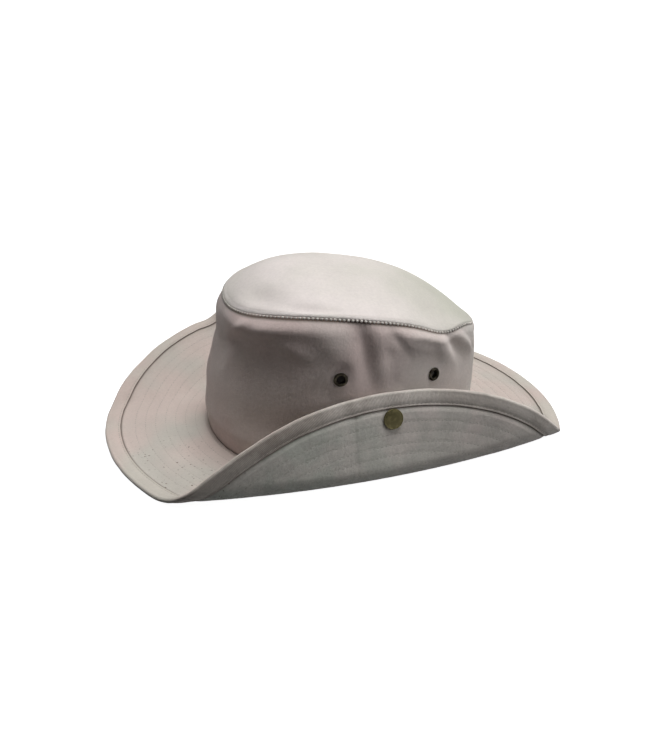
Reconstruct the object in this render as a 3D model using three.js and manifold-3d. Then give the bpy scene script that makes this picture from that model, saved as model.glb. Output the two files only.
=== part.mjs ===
// A cotton bush hat with both sides of its brim turned up and snapped to the crown.
// Millimetres. +Z is up, -Y is the front of the hat and +X is the wearer's left side.
// It rests on the flat strips of its brim, and the origin is the middle of its box at the bottom.
import * as THREE from 'three';
import Module from 'manifold-3d';

// ---------- driving dimensions ----------
const GAP = 0.3; // clearance between pieces that touch on the real hat

// Steps round the hat. by_two and by_four crowd them together: the crown's at its two sides, where
// the folds are, and the brim's near its four corners, where the curl runs out.
const CROWN_STEPS = { count: 68, by_two: -0.2, by_four: 0 };
const BRIM_STEPS = { count: 76, by_two: 0.12, by_four: 0.06 };

const HEAD = { half_length: 93.9, half_width: 82.7, square: 2.18 };
const BRIM = { width: 73.8, extra_at_ends: 0.6, square: 2.03, half_thick: 1.0, half_thin: 0.6, tuck: 2.2 };
const BINDING = { width: 11, wall: 0.9, lift: 0.8, ramp: 4 };
const CROWN = { height: 92, half_length: 88, half_width: 71.7, square: 2.17, half_thick: 0.7 };
const TOP = { back: 7.3, pitch: -8.4, roll: 1.4, sides_up: 5.6, front_down: 2.2, front_spread: 35 };
const SIDE = { belly: 1.6, flare: 3.1, foot: 0.15, shoulder: 0.22 };
const DOME = { rise: 24.6, fullness: 2.4, rim_power: 4, welt: 0.8, welt_width: 0.035 };

// Where the sides of the brim leave the table and how they curl up there. Each value runs from
// the middle of the hat to its end with the square of the distance along the hat.
const CURL = {
  reach: 150, // distance along the hat at which the end values hold
  limit: 1.2, // the curl stops changing at this many reaches
  middle: { line: 89.7, radius: 9.9, turn: 106.4 },
  end: { line: 68.0, radius: 22.1, turn: 75.9 },
};

// The right side's front corner hangs open. Going forward from the snap, the curl there changes to
// these values, the brim is held down beside the crown, and its edge dips a little.
const OPEN = {
  from: 17, to: 75, // mm in front of the middle, where the corner starts and ends opening
  line: 53.9, radius: 34, turn: 20,
  held: 0.595, free: 0.765, // shares of the brim's outer oval
  dip: 3.6, dip_width: 12, dip_fades: { from: 120, to: 150 },
};
// How far the middle of the head is from the middle of the whole hat's box, because of that corner.
const HEAD_OFFSET = 20.413;

// Folds and hollows of the crown's wall. at: degrees round from the left side towards the back.
// up: share of the wall's height. wide: degrees. tall: share of the height. out: mm, inward if
// negative. slant: degrees towards the back for each full height upwards.
const WALL_FOLDS = [
  { at: -12, up: 0.80, wide: 3.5, tall: 0.22, out: -2.6, slant: -15 }, // upright valley, left
  { at: -6, up: 0.78, wide: 3.5, tall: 0.20, out: 1.2, slant: -12 }, // its rear ridge
  { at: -23, up: 0.80, wide: 7, tall: 0.16, out: 1.5, slant: -20 }, // its front ridge
  { at: 2, up: 0.88, wide: 3, tall: 0.08, out: -1.2, slant: -50 }, // short pucker
  { at: 16, up: 0.90, wide: 7, tall: 0.07, out: 1.0, slant: 0 },
  { at: 26, up: 0.86, wide: 3, tall: 0.12, out: 1.3, slant: -35 }, // crease at the rear corner
  { at: 33, up: 0.86, wide: 4, tall: 0.12, out: -1.6, slant: -45 },
  { at: 41, up: 0.86, wide: 3, tall: 0.10, out: 1.2, slant: -60 },
  { at: -67, up: 0.92, wide: 4, tall: 0.07, out: 1.3, slant: 100 }, // pinch at the front corner
  { at: -86, up: 0.70, wide: 8, tall: 0.12, out: -2.2, slant: 0 },
  { at: -52, up: 0.87, wide: 24, tall: 0.06, out: 1.2, slant: 0 }, // brow of the broad hollow
  { at: -50, up: 0.62, wide: 26, tall: 0.16, out: -2.4, slant: 0 }, // broad hollow, left front
  { at: 100, up: 0.60, wide: 16, tall: 0.20, out: -1.6, slant: 10 }, // back
  { at: 78, up: 0.84, wide: 5, tall: 0.12, out: 1.0, slant: 30 },
  { at: 192, up: 0.78, wide: 5, tall: 0.20, out: -2.0, slant: 12 }, // upright valley, right
  { at: 203, up: 0.80, wide: 6, tall: 0.16, out: 1.2, slant: 16 },
  { at: 150, up: 0.86, wide: 5, tall: 0.12, out: -1.2, slant: 30 },
  { at: 232, up: 0.64, wide: 24, tall: 0.16, out: -1.8, slant: 0 }, // broad hollow, right front
];

// Dents of the crown's top. at: degrees, as above. out: share of the way from the middle to the
// seam. wide: degrees. long: share of that way. lift: mm, downward if negative.
const TOP_DENTS = [
  { at: -68, out: 0.88, wide: 13, long: 0.08, lift: -2.2 },
  { at: -34, out: 0.92, wide: 12, long: 0.06, lift: -0.9 },
  { at: 30, out: 0.85, wide: 16, long: 0.12, lift: -1.2 },
  { at: 140, out: 0.82, wide: 18, long: 0.12, lift: -1.4 },
  { at: 245, out: 0.86, wide: 16, long: 0.10, lift: -1.2 },
];

// Fittings. along: mm towards the back. height: mm above the table, on the wall.
const EYELETS = [
  { place: 'front', along: -29.4, height: 69.6 },
  { place: 'rear', along: 37.2, height: 63.7 },
];
const SNAP = { along: 2.1, out: 56.2 }; // out: mm across the brim from the head opening
const FLAT_ROUND_FITTING = { from: 8, to: 15 }; // the wall's folds fade out round each fitting
const EYELET = { bore: 2.4, barrel: 2.9, lip: 4.6, crest: 1.2, back_lip: 4.2, back: 0.6, sides: 16 };
const CAP = { radius: 6.9, rise: 1.9, rim: 0.9, post: 2.0, socket: 5.6, socket_high: 3.0, sides: 16 };
const SOCKET = { mouth: 2.9, deep: 1.8 };
const STUD = { flange: 5.2, flange_high: 0.8, knob: 2.2, knob_high: 2.4, post: 2.0, back: 5.0, sides: 16 };

const COLOURS = { cloth: 0xc9c3b8, top: 0xd2cec4, tape: 0xb9b3a8, brass: 0x4a4636 };

// ---------- small helpers ----------
const { sin, cos, tan, abs, min, max, exp, PI } = Math;
const radians = (degrees) => (degrees * PI) / 180;
const clamp = (value, low, high) => min(max(value, low), high);
const add = (p, q, scale = 1) => p.map((value, axis) => value + scale * q[axis]);
const blend = (p, q, share) => p.map((value, axis) => value * (1 - share) + q[axis] * share);
const unit = (p) => p.map((value) => value / Math.hypot(...p));
const cross = (p, q) => [
  p[1] * q[2] - p[2] * q[1],
  p[2] * q[0] - p[0] * q[2],
  p[0] * q[1] - p[1] * q[0],
];
const smooth = (value) => {
  const share = clamp(value, 0, 1);
  return share * share * (3 - 2 * share);
};
// The shorter way round from one angle to another, in degrees.
const turnBetween = (from, to) => ((((to - from) % 360) + 540) % 360) - 180;

const stepsOf = ({ count, by_two, by_four }) => Array.from({ length: count }, (_, step) => {
  const even = (2 * PI * step) / count;
  return even + by_two * sin(2 * even) + by_four * sin(4 * even);
});

// An oval between an ellipse (square 2) and a rounded rectangle, long from front to back.
const oval = (half_length, half_width, square, angle) => {
  const [c, s] = [cos(angle), sin(angle)];
  const reach = (abs(c) ** square + abs(s) ** square) ** (-1 / square);
  return [half_width * reach * c, half_length * reach * s];
};

// ---------- brim ----------
// A point of the brim while it is still flat: angle round the head, out across the brim.
const flatBrim = (angle, out) => {
  const inner = oval(HEAD.half_length, HEAD.half_width, HEAD.square, angle);
  const long = HEAD.half_length + BRIM.width + BRIM.extra_at_ends;
  const outer = oval(long, HEAD.half_width + BRIM.width, BRIM.square, angle);
  return blend(inner, outer, out / BRIM.width);
};

const curlAt = (across, along) => {
  const share = min(CURL.limit, abs(along) / CURL.reach) ** 2;
  const open = across < 0 ? smooth((-along - OPEN.from) / (OPEN.to - OPEN.from)) : 0;
  const opening = { line: open ** 2, radius: open ** 2, turn: 1 - (1 - open) ** 2 };
  const value = (key) => {
    const shut = CURL.middle[key] + (CURL.end[key] - CURL.middle[key]) * share;
    return shut + (OPEN[key] - shut) * opening[key];
  };
  return { line: value('line'), radius: value('radius'), turn: radians(value('turn')), open };
};

// The open corner's height at a flat point, changed from that of its curl.
const openHeight = ([across, along], high, open) => {
  const half_width = HEAD.half_width + BRIM.width;
  const half_length = HEAD.half_length + BRIM.width + BRIM.extra_at_ends;
  const share = (abs(across / half_width) ** BRIM.square + abs(along / half_length) ** BRIM.square) ** (1 / BRIM.square);
  const rise = 1 - open * (1 - smooth((share - OPEN.held) / (OPEN.free - OPEN.held)));
  const { from, to } = OPEN.dip_fades;
  const near = clamp(1 - ((1 - share) * half_width) / OPEN.dip_width, 0, 1);
  return high * rise - OPEN.dip * near ** 2 * open * smooth((to - abs(along)) / (to - from));
};

// The flat brim's points carried up round the curl, still without thickness.
const curl = ([across, along]) => {
  const { line, radius, turn, open } = curlAt(across, along);
  const past = abs(across) - line;
  if (past <= 0) return [across, along, BRIM.half_thick];
  const arc = min(past / radius, turn);
  const straight = max(0, past - radius * turn);
  const side = line + radius * sin(arc) + straight * cos(turn);
  const high = radius * (1 - cos(arc)) + straight * sin(turn);
  return [Math.sign(across) * side, along, BRIM.half_thick + openHeight([across, along], high, open)];
};

// The frame of the brim at a flat point: the point and the direction out of its upper face.
const brimFrame = (flat) => {
  const step = 0.01;
  const point = curl(flat);
  const acrossWay = add(curl([flat[0] + step, flat[1]]), point, -1);
  const alongWay = add(curl([flat[0], flat[1] + step]), point, -1);
  return { point, up: unit(cross(acrossWay, alongWay)) };
};

// How far past the head opening the brim starts and stops bending at this angle.
const bendStarts = (angle) => {
  const crosses = (offset) => {
    let [low, high] = [0, BRIM.width];
    for (let halving = 0; halving < 20; halving += 1) {
      const middle = (low + high) / 2;
      const [across, along] = flatBrim(angle, middle);
      const { line, radius, turn } = curlAt(across, along);
      if (abs(across) > line + offset * radius * turn) high = middle;
      else low = middle;
    }
    return high;
  };
  const room = BRIM.width - BINDING.width - BINDING.ramp;
  const start = clamp(crosses(0), 0.1 * room, 0.62 * room);
  const end = clamp(crosses(1), start + 0.2 * room, 0.86 * room);
  return { start, end, room };
};

const liftAt = (out) => BINDING.lift * smooth((out - (BRIM.width - BINDING.width)) / BINDING.ramp + 1);

const brimPoint = (angle, out, above) => {
  const { point, up } = brimFrame(flatBrim(angle, out));
  return add(point, up, above + liftAt(out));
};

const brimLoops = () => stepsOf(BRIM_STEPS).map((angle) => {
  const { start, end, room } = bendStarts(angle);
  const bend = [0, 0.25, 0.5, 0.75, 1].map((share) => start + (end - start) * share);
  const flap = [0.5, 1].map((share) => end + (room - end) * share);
  const body = [-BRIM.tuck, ...bend, ...flap].map((out) => [out, BRIM.half_thick]);
  const edge = [BRIM.width - BINDING.width, BRIM.width - BINDING.wall - GAP];
  const rows = [...body, ...edge.map((out) => [out, BRIM.half_thin])];
  const top = rows.map(([out, half]) => brimPoint(angle, out, half));
  const under = rows.reverse().map(([out, half]) => brimPoint(angle, out, -half));
  return [...top, ...under];
});

// ---------- binding ----------
const bindingLoops = () => {
  const inner = BRIM.half_thin + GAP;
  const outer = inner + BINDING.wall;
  const [hem, edge] = [BRIM.width - BINDING.width, BRIM.width];
  const section = [
    [hem, -outer], [edge - BINDING.wall, -outer], [edge, -inner], [edge, inner],
    [edge - BINDING.wall, outer], [hem, outer],
    [hem, inner], [edge - BINDING.wall, inner], [edge - BINDING.wall, -inner], [hem, -inner],
  ];
  return stepsOf(BRIM_STEPS).map((angle) => section.map(([out, above]) => brimPoint(angle, out, above)));
};

// ---------- crown ----------
// The seam between the crown's wall and its top.
const seam = (angle, share = 1) => {
  const [across, along] = oval(CROWN.half_length, CROWN.half_width, CROWN.square, angle);
  const fromFront = turnBetween(-90, angle * (180 / PI));
  const wave = TOP.sides_up * cos(2 * angle) - TOP.front_down * exp(-((fromFront / TOP.front_spread) ** 2));
  const plane = along * tan(radians(TOP.pitch)) + across * tan(radians(TOP.roll));
  const foot = 2 * BRIM.half_thick + GAP;
  const rim = share ** DOME.rim_power;
  const high = foot + CROWN.height + plane * (share + rim * (1 - share)) + wave * rim;
  return [across * share, along * share + TOP.back, high];
};

const foldAt = (angle, up) => WALL_FOLDS.reduce((total, fold) => {
  const round = turnBetween(fold.at + fold.slant * (up - fold.up), angle * (180 / PI));
  return total + fold.out * exp(-((round / fold.wide) ** 2) - ((up - fold.up) / fold.tall) ** 2);
}, 0);

// The wall's middle surface: angle round the head and share of the way up from brim to seam.
// calm holds the folds down, from 0 for a plain wall to 1 for all of them.
const wall = (angle, up, calm) => {
  const foot = [...oval(HEAD.half_length, HEAD.half_width, HEAD.square, angle), 2 * BRIM.half_thick + GAP];
  const plain = blend(foot, seam(angle), up);
  const shoulder = SIDE.flare * (1 - clamp((1 - up) / SIDE.shoulder, 0, 1)) ** 2;
  const flare = SIDE.belly * sin(PI * up) + SIDE.flare - shoulder;
  const fold = foldAt(angle, up) * calm * min(1, (1 - up) / 0.05);
  const out = flare * clamp(up / SIDE.foot, 0, 1) + fold;
  return add(plain, [cos(angle), sin(angle), 0], out);
};

// Where the plain wall is at this distance along the hat and height, on the side with this sign.
const wallPlace = (along, height, sign) => {
  let angle = sign > 0 ? 0 : PI;
  let up = 0.5;
  for (let pass = 0; pass < 12; pass += 1) {
    const point = wall(angle, up, 0);
    angle -= (sign * (point[1] - along)) / HEAD.half_length;
    up -= (point[2] - height) / CROWN.height;
  }
  return { angle, up };
};

const wallFrame = ({ angle, up }) => {
  const step = 0.002;
  const point = wall(angle, up, 0);
  const roundWay = add(wall(angle + step, up, 0), point, -1);
  const upWay = add(wall(angle, up + step, 0), point, -1);
  return { point, out: unit(cross(roundWay, upWay)) };
};

// ---------- where the fittings go ----------
// The snap's cap sits square on the brim, and its stud is where the cap's axis meets the wall.
const capFrame = (sign) => brimFrame([sign * (HEAD.half_width + SNAP.out), SNAP.along]);

const studPlace = (sign) => {
  const { point, up } = capFrame(sign);
  let place = wallPlace(point[1], point[2], sign);
  for (let pass = 0; pass < 6; pass += 1) {
    const distance = (wall(place.angle, place.up, 0)[0] - point[0]) / up[0];
    const target = add(point, up, distance);
    place = wallPlace(target[1], target[2], sign);
  }
  return place;
};

const fittingPlaces = [1, -1].flatMap((sign) => [
  ...EYELETS.map((eyelet) => wallPlace(eyelet.along, eyelet.height, sign)),
  studPlace(sign),
]);

const calmAt = (angle, up) => min(...fittingPlaces.map((place) => {
  const round = radians(turnBetween(angle * (180 / PI), place.angle * (180 / PI))) * HEAD.half_length;
  const distance = Math.hypot(round, (up - place.up) * CROWN.height);
  const { from, to } = FLAT_ROUND_FITTING;
  return smooth((distance - from) / (to - from));
}));

// ---------- crown shells ----------
const foldedWall = (angle, up) => wall(angle, up, calmAt(angle, up));

const topPoint = (angle, share) => {
  const point = seam(angle, share);
  const dent = TOP_DENTS.reduce((total, row) => {
    const round = turnBetween(row.at, angle * (180 / PI));
    return total + row.lift * exp(-((round / row.wide) ** 2) - ((share - row.out) / row.long) ** 2);
  }, 0);
  const fade = min(1, (1 - share) / DOME.welt_width);
  return add(point, [0, 0, 1], DOME.rise * (1 - share ** DOME.fullness) + dent * fade);
};

// The point where wall and top meet, the way from one to the other there, and the way out.
const mitre = (angle) => {
  const near = 0.03;
  const point = seam(angle);
  const rising = unit(add(point, foldedWall(angle, 1 - near), -1));
  const leaving = unit(add(topPoint(angle, 1 - near), point, -1));
  const over = unit(rising.map((value, axis) => value + leaving[axis]));
  const round = add(seam(angle + near), seam(angle - near), -1);
  const out = unit(cross(round, over));
  const squareness = rising.reduce((total, value, axis) => total + value * over[axis], 0);
  return { point, over, out, half: CROWN.half_thick / squareness };
};

const surfaceNormal = (surface, angle, share, shareStep) => {
  const angleStep = 0.01;
  const round = add(surface(angle + angleStep, share), surface(angle - angleStep, share), -1);
  const onward = add(surface(angle, share + shareStep), surface(angle, share), -1);
  return unit(cross(round, onward));
};

const sideLoops = () => stepsOf(CROWN_STEPS).map((angle) => {
  const { point, over, out, half } = mitre(angle);
  const edge = add(point, over, -GAP / 2);
  const foot = foldedWall(angle, 0);
  const footOut = surfaceNormal(foldedWall, angle, 0, 0.01);
  const flatOut = unit([footOut[0], footOut[1], 0]);
  const rows = [0.15, 0.32, 0.5, 0.66, 0.8, 0.91].map((up) => ({
    point: foldedWall(angle, up),
    out: surfaceNormal(foldedWall, angle, up, 0.01),
    half: CROWN.half_thick,
  }));
  const all = [
    { point: foot, out: flatOut, half: CROWN.half_thick },
    ...rows,
    { point: edge, out, half },
  ];
  const outside = all.map((row) => add(row.point, row.out, row.half));
  const inside = all.reverse().map((row) => add(row.point, row.out, -row.half));
  return [...outside, ...inside];
});

const tipLoops = () => stepsOf(CROWN_STEPS).map((angle) => {
  const { point, over, out, half } = mitre(angle);
  const rim = add(point, over, GAP / 2);
  const middle = topPoint(angle, 0);
  const weltEnd = 1 - DOME.welt_width;
  const shares = [weltEnd + 0.012, weltEnd - 0.01, 0.85, 0.65, 0.35];
  const rows = shares.map((share) => ({
    point: topPoint(angle, share),
    out: surfaceNormal(topPoint, angle, share, -0.01),
    welt: share > weltEnd ? DOME.welt : 0,
  }));
  const outside = rows.map((row) => add(row.point, row.out, CROWN.half_thick + row.welt));
  const inside = rows.slice(1).reverse().map((row) => add(row.point, row.out, -CROWN.half_thick));
  return [
    add(rim, out, half + DOME.welt), ...outside, add(middle, [0, 0, 1], CROWN.half_thick),
    add(middle, [0, 0, 1], -CROWN.half_thick), ...inside, add(rim, out, -half),
  ];
});

// ---------- solids ----------
// Six times the volume inside a closed surface, negative where its faces point inwards.
const volume = (position, triangles) => triangles.reduce((total, triangle) => {
  const [a, b, c] = triangle.map((id) => position.slice(3 * id, 3 * id + 3));
  const normal = cross(b, c);
  return total + a[0] * normal[0] + a[1] * normal[1] + a[2] * normal[2];
}, 0);

// A closed body: each loop of points is joined to the next and the last to the first. Each
// four-sided face is split across its shorter diagonal, so that the faces of a thin wall split
// alike. Points that coincide are shared, and triangles that this leaves without area are dropped.
const skin = (loops) => {
  const position = [];
  const seen = new Map();
  const pointId = (point) => {
    const key = point.map((value) => (abs(value) < 5e-5 ? 0 : value).toFixed(4)).join(' ');
    if (!seen.has(key)) {
      seen.set(key, seen.size);
      position.push(...point);
    }
    return seen.get(key);
  };
  const triangles = loops.flatMap((loop, row) => {
    const next = loops[(row + 1) % loops.length];
    return loop.flatMap((point, column) => {
      const after = (column + 1) % loop.length;
      const corners = [point, next[column], next[after], loop[after]];
      const [a, b, c, d] = corners.map(pointId);
      const first = Math.hypot(...add(corners[0], corners[2], -1));
      const second = Math.hypot(...add(corners[1], corners[3], -1));
      const halves = first < second + 0.01 ? [[a, b, c], [a, c, d]] : [[a, b, d], [b, c, d]];
      return halves.filter((triangle) => new Set(triangle).size === 3);
    });
  });
  const geometry = new THREE.BufferGeometry();
  geometry.setAttribute('position', new THREE.Float32BufferAttribute(position, 3));
  const outward = volume(position, triangles) > 0;
  geometry.setIndex(triangles.flatMap(([a, b, c]) => (outward ? [a, b, c] : [a, c, b])));
  return geometry;
};

// A solid of revolution about Z from its profile of [radius, height] points.
const turned = (profile, sides) => skin(Array.from({ length: sides }, (_, side) => {
  const angle = (2 * PI * side) / sides;
  return profile.map(([radius, high]) => [radius * cos(angle), radius * sin(angle), high]);
}));

const wasm = await Module();
wasm.setup();

const solidOf = (geometry) => new wasm.Manifold(new wasm.Mesh({
  numProp: 3,
  vertProperties: geometry.attributes.position.array,
  triVerts: new Uint32Array(geometry.index.array),
}));

const cutHoles = (geometry, holes) => {
  const body = holes.reduce((solid, hole) => solid.subtract(solidOf(hole)), solidOf(geometry));
  const mesh = body.getMesh();
  const cut = new THREE.BufferGeometry();
  cut.setAttribute('position', new THREE.BufferAttribute(mesh.vertProperties, 3));
  cut.setIndex(new THREE.BufferAttribute(mesh.triVerts, 1));
  return cut;
};

// The turn and place that stand a fitting on a point of cloth, its axis along the way out.
const standOn = (point, out) => {
  const turn = new THREE.Quaternion();
  turn.setFromUnitVectors(new THREE.Vector3(0, 0, 1), new THREE.Vector3(...out));
  return new THREE.Matrix4().compose(new THREE.Vector3(...point), turn, new THREE.Vector3(1, 1, 1));
};

const HOLE_LENGTH = 8;
const hole = (radius, sides, place) => {
  const half = HOLE_LENGTH / 2;
  return turned([[0, -half], [radius, -half], [radius, half], [0, half]], sides).applyMatrix4(place);
};

// ---------- fittings ----------
const eyeletGeometry = () => {
  const face = CROWN.half_thick + GAP;
  const { bore, barrel, lip, crest, back_lip, back, sides } = EYELET;
  return turned([
    [barrel, -face], [barrel, face], [lip, face], [lip - 0.2, face + 0.6 * crest],
    [(lip + bore) / 2, face + crest], [bore + 0.2, face + 0.6 * crest], [bore, face],
    [bore, -face - back], [back_lip, -face - back], [back_lip, -face],
  ], sides);
};

// The cap's axis points out of the hat: the dome is in front and the socket behind the cloth.
const capGeometry = () => {
  const face = BRIM.half_thick + GAP;
  const { radius, rise, rim, post, socket, socket_high, sides } = CAP;
  const back = -face - socket_high;
  return turned([
    [0, face + rise], [0.6 * radius, face + 0.8 * rise + 0.1], [0.92 * radius, face + rim],
    [radius, face], [post, face], [post, -face], [socket, -face], [socket, back],
    [SOCKET.mouth, back], [SOCKET.mouth, back + SOCKET.deep], [0, back + SOCKET.deep],
  ], sides);
};

const studGeometry = () => {
  const face = CROWN.half_thick + GAP;
  const { flange, flange_high, knob, knob_high, post, back, sides } = STUD;
  const top = face + flange_high;
  return turned([
    [0, top + knob_high], [0.8 * knob, top + knob_high], [knob, top + 0.8 * knob_high], [knob, top],
    [flange, top], [flange, face], [post, face], [post, -face], [back, -face],
    [back, -face - flange_high], [0, -face - flange_high],
  ], sides);
};

// ---------- the hat ----------
const hat = new THREE.Group();

const piece = (name, geometry, colour, place = new THREE.Matrix4(), metalness = 0, roughness = 0.9) => {
  const material = new THREE.MeshStandardMaterial({ color: colour, roughness, metalness });
  const mesh = new THREE.Mesh(geometry, material);
  mesh.name = name;
  place.decompose(mesh.position, mesh.quaternion, mesh.scale);
  mesh.position.x += HEAD_OFFSET;
  hat.add(mesh);
};
const fitting = (name, geometry, place) => piece(name, geometry, COLOURS.brass, place, 0.8, 0.45);

const hands = [{ hand: 'left', sign: 1 }, { hand: 'right', sign: -1 }];
const wallHoles = [];
const brimHoles = [];

for (const { hand, sign } of hands) {
  for (const eyelet of EYELETS) {
    const { point, out } = wallFrame(wallPlace(eyelet.along, eyelet.height, sign));
    const place = standOn(point, out);
    wallHoles.push(hole(EYELET.barrel + GAP, EYELET.sides, place));
    fitting(`eyelet_${hand}_${eyelet.place}`, eyeletGeometry(), place);
  }

  const cap = capFrame(sign);
  const capPlace = standOn(cap.point, cap.up.map((value) => -value));
  brimHoles.push(hole(CAP.post + GAP, CAP.sides, capPlace));
  fitting(`snap_cap_${hand}`, capGeometry(), capPlace);

  const stud = wallFrame(studPlace(sign));
  const studStand = standOn(stud.point, stud.out);
  wallHoles.push(hole(STUD.post + GAP, STUD.sides, studStand));
  fitting(`snap_stud_${hand}`, studGeometry(), studStand);
}

piece('brim', cutHoles(skin(brimLoops()), brimHoles), COLOURS.cloth);
piece('brim_binding', skin(bindingLoops()), COLOURS.tape);
piece('crown_side', cutHoles(skin(sideLoops()), wallHoles), COLOURS.cloth);
piece('crown_tip', skin(tipLoops()), COLOURS.top);

export default hat;
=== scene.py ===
# %% [markdown]
# # A cotton bush hat with both sides of its brim snapped up
# A bush hat is three pieces of cloth: an oval top, one upright band round the head, and a brim of
# two layers quilted together in rings. A folded tape closes the edge of the brim. Brass eyelets
# air the band, and a press stud on each side holds the brim up. This lesson makes each of them in
# that order round the model that was packed, which already says where everything is.

import math
from types import SimpleNamespace as Sizes

import bmesh
import bpy
import numpy as np
from mathutils import Matrix, Vector


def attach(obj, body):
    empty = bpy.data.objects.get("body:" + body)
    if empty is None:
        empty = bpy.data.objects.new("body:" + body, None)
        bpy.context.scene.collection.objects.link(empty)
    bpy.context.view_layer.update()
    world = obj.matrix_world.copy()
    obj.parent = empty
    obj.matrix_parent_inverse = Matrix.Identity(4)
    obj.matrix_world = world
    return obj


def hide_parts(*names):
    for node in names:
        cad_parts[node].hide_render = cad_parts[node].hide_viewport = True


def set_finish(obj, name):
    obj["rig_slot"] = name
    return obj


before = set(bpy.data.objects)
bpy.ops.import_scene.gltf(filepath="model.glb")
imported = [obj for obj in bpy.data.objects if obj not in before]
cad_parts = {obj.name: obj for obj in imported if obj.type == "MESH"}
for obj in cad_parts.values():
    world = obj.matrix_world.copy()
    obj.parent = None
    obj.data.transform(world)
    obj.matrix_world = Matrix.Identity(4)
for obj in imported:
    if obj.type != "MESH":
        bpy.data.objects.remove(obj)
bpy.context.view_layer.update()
MM = 0.001

# %% [markdown]
# ## The camera
# The camera stands a little in front of the hat's left side and looks down on it. It leans by two
# degrees, and it aims just beside the hat's middle. Both are set with three directions, because
# that is easier to read than a chain of turns.

# %% Place the camera
def placed(name, data):
    piece = bpy.data.objects.new(name, data)
    bpy.context.scene.collection.objects.link(piece)
    return piece


VIEW = Sizes(round_deg=67.04, up_deg=25.35, lean_deg=2.31, distance=668.08, lens=44.54)
HEAD_OFFSET = Vector((20.413, 0, 0)) * MM
WATCHED = Vector((0, 2.33, 41)) * MM + HEAD_OFFSET
OFF_CENTRE = Sizes(right=-6.18, up=-2.95)


def camera_at(view, watched, off):
    """A camera on the sphere round the watched point."""
    turn, rise, lean = math.radians(view.round_deg), math.radians(view.up_deg), math.radians(view.lean_deg)
    back = Vector((math.sin(turn) * math.cos(rise), -math.cos(turn) * math.cos(rise), math.sin(rise)))
    level = Vector((math.cos(turn), math.sin(turn), 0))
    rising = back.cross(level)
    right = level * math.cos(lean) + rising * math.sin(lean)
    up = rising * math.cos(lean) - level * math.sin(lean)
    place = watched + back * view.distance * MM
    back = (place - watched - right * off.right * MM - up * off.up * MM).normalized()
    up = (up - back * up.dot(back)).normalized()
    camera = placed("camera", bpy.data.cameras.new("camera"))
    camera.data.lens = view.lens
    camera.data.sensor_width = 36
    camera.matrix_world = Matrix.Translation(place) @ Matrix((up.cross(back), up, back)).transposed().to_4x4()
    return camera


bpy.context.scene.camera = camera_at(VIEW, WATCHED, OFF_CENTRE)
print("camera at", [round(value, 3) for value in bpy.context.scene.camera.location])

# %% [markdown]
# ## The sizes of the hat
# These are the sizes that the solids were made from, in millimetres and degrees. Angles go round
# the head from the wearer's left side, through the back. The cloth is drawn with many more steps
# than the solids have, so the same sizes give a smooth surface here.

# %% Write down the sizes
HEAD = Sizes(half_length=93.9, half_width=82.7, square=2.18)
BRIM = Sizes(width=73.8, extra_at_ends=0.6, square=2.03, half=1.0, half_thin=0.6, tuck=2.2)
BRIM_EDGE = Sizes(half_length=HEAD.half_length + BRIM.width + BRIM.extra_at_ends,
                  half_width=HEAD.half_width + BRIM.width, square=BRIM.square)
TAPE = Sizes(width=11, thick=0.9, lift=0.8, ramp=4)
CROWN = Sizes(height=92, half_length=88, half_width=71.7, square=2.17, thick=1.4)
TOP = Sizes(back=7.3, pitch=-8.4, roll=1.4, sides_up=5.6, front_down=2.2, front_spread=35, thick=0.9)
SIDE = Sizes(belly=1.6, flare=3.1, foot=0.15, shoulder=0.22)
DOME = Sizes(rise=24.6, fullness=2.4, rim_power=4, soft_edge=0.035)
FOOT = 2.3
CURL_REACH, CURL_LIMIT = 150, 1.2
CURL = Sizes(line=(89.7, 68.0), radius=(9.9, 22.1), turn=(math.radians(106.4), math.radians(75.9)))
OPEN = Sizes(start=17, end=75, line=53.9, radius=34, turn=math.radians(20), held=0.595, free=0.765,
             dip=3.6, dip_width=12, dip_fades=(120, 150))
# Uneven waves: mm high and mm apart. The brim's fade near the floor.
BRIM_WAVES = Sizes(long=(0.9, 46), short=(0.35, 19), start=95, grow=60, floor_gap=0.5, floor_fade=8)
TOP_WAVES = ((0.5, 38), (0.18, 15))
BAND_WAVES = Sizes(waves=((0.5, 24), (0.28, 11)), at_foot=0.6, more_above=0.9, soft_edge=0.03)
# The circles that waves round the hat are read on.
REACH = Sizes(edge=150, rows=100, seam=80)

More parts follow.
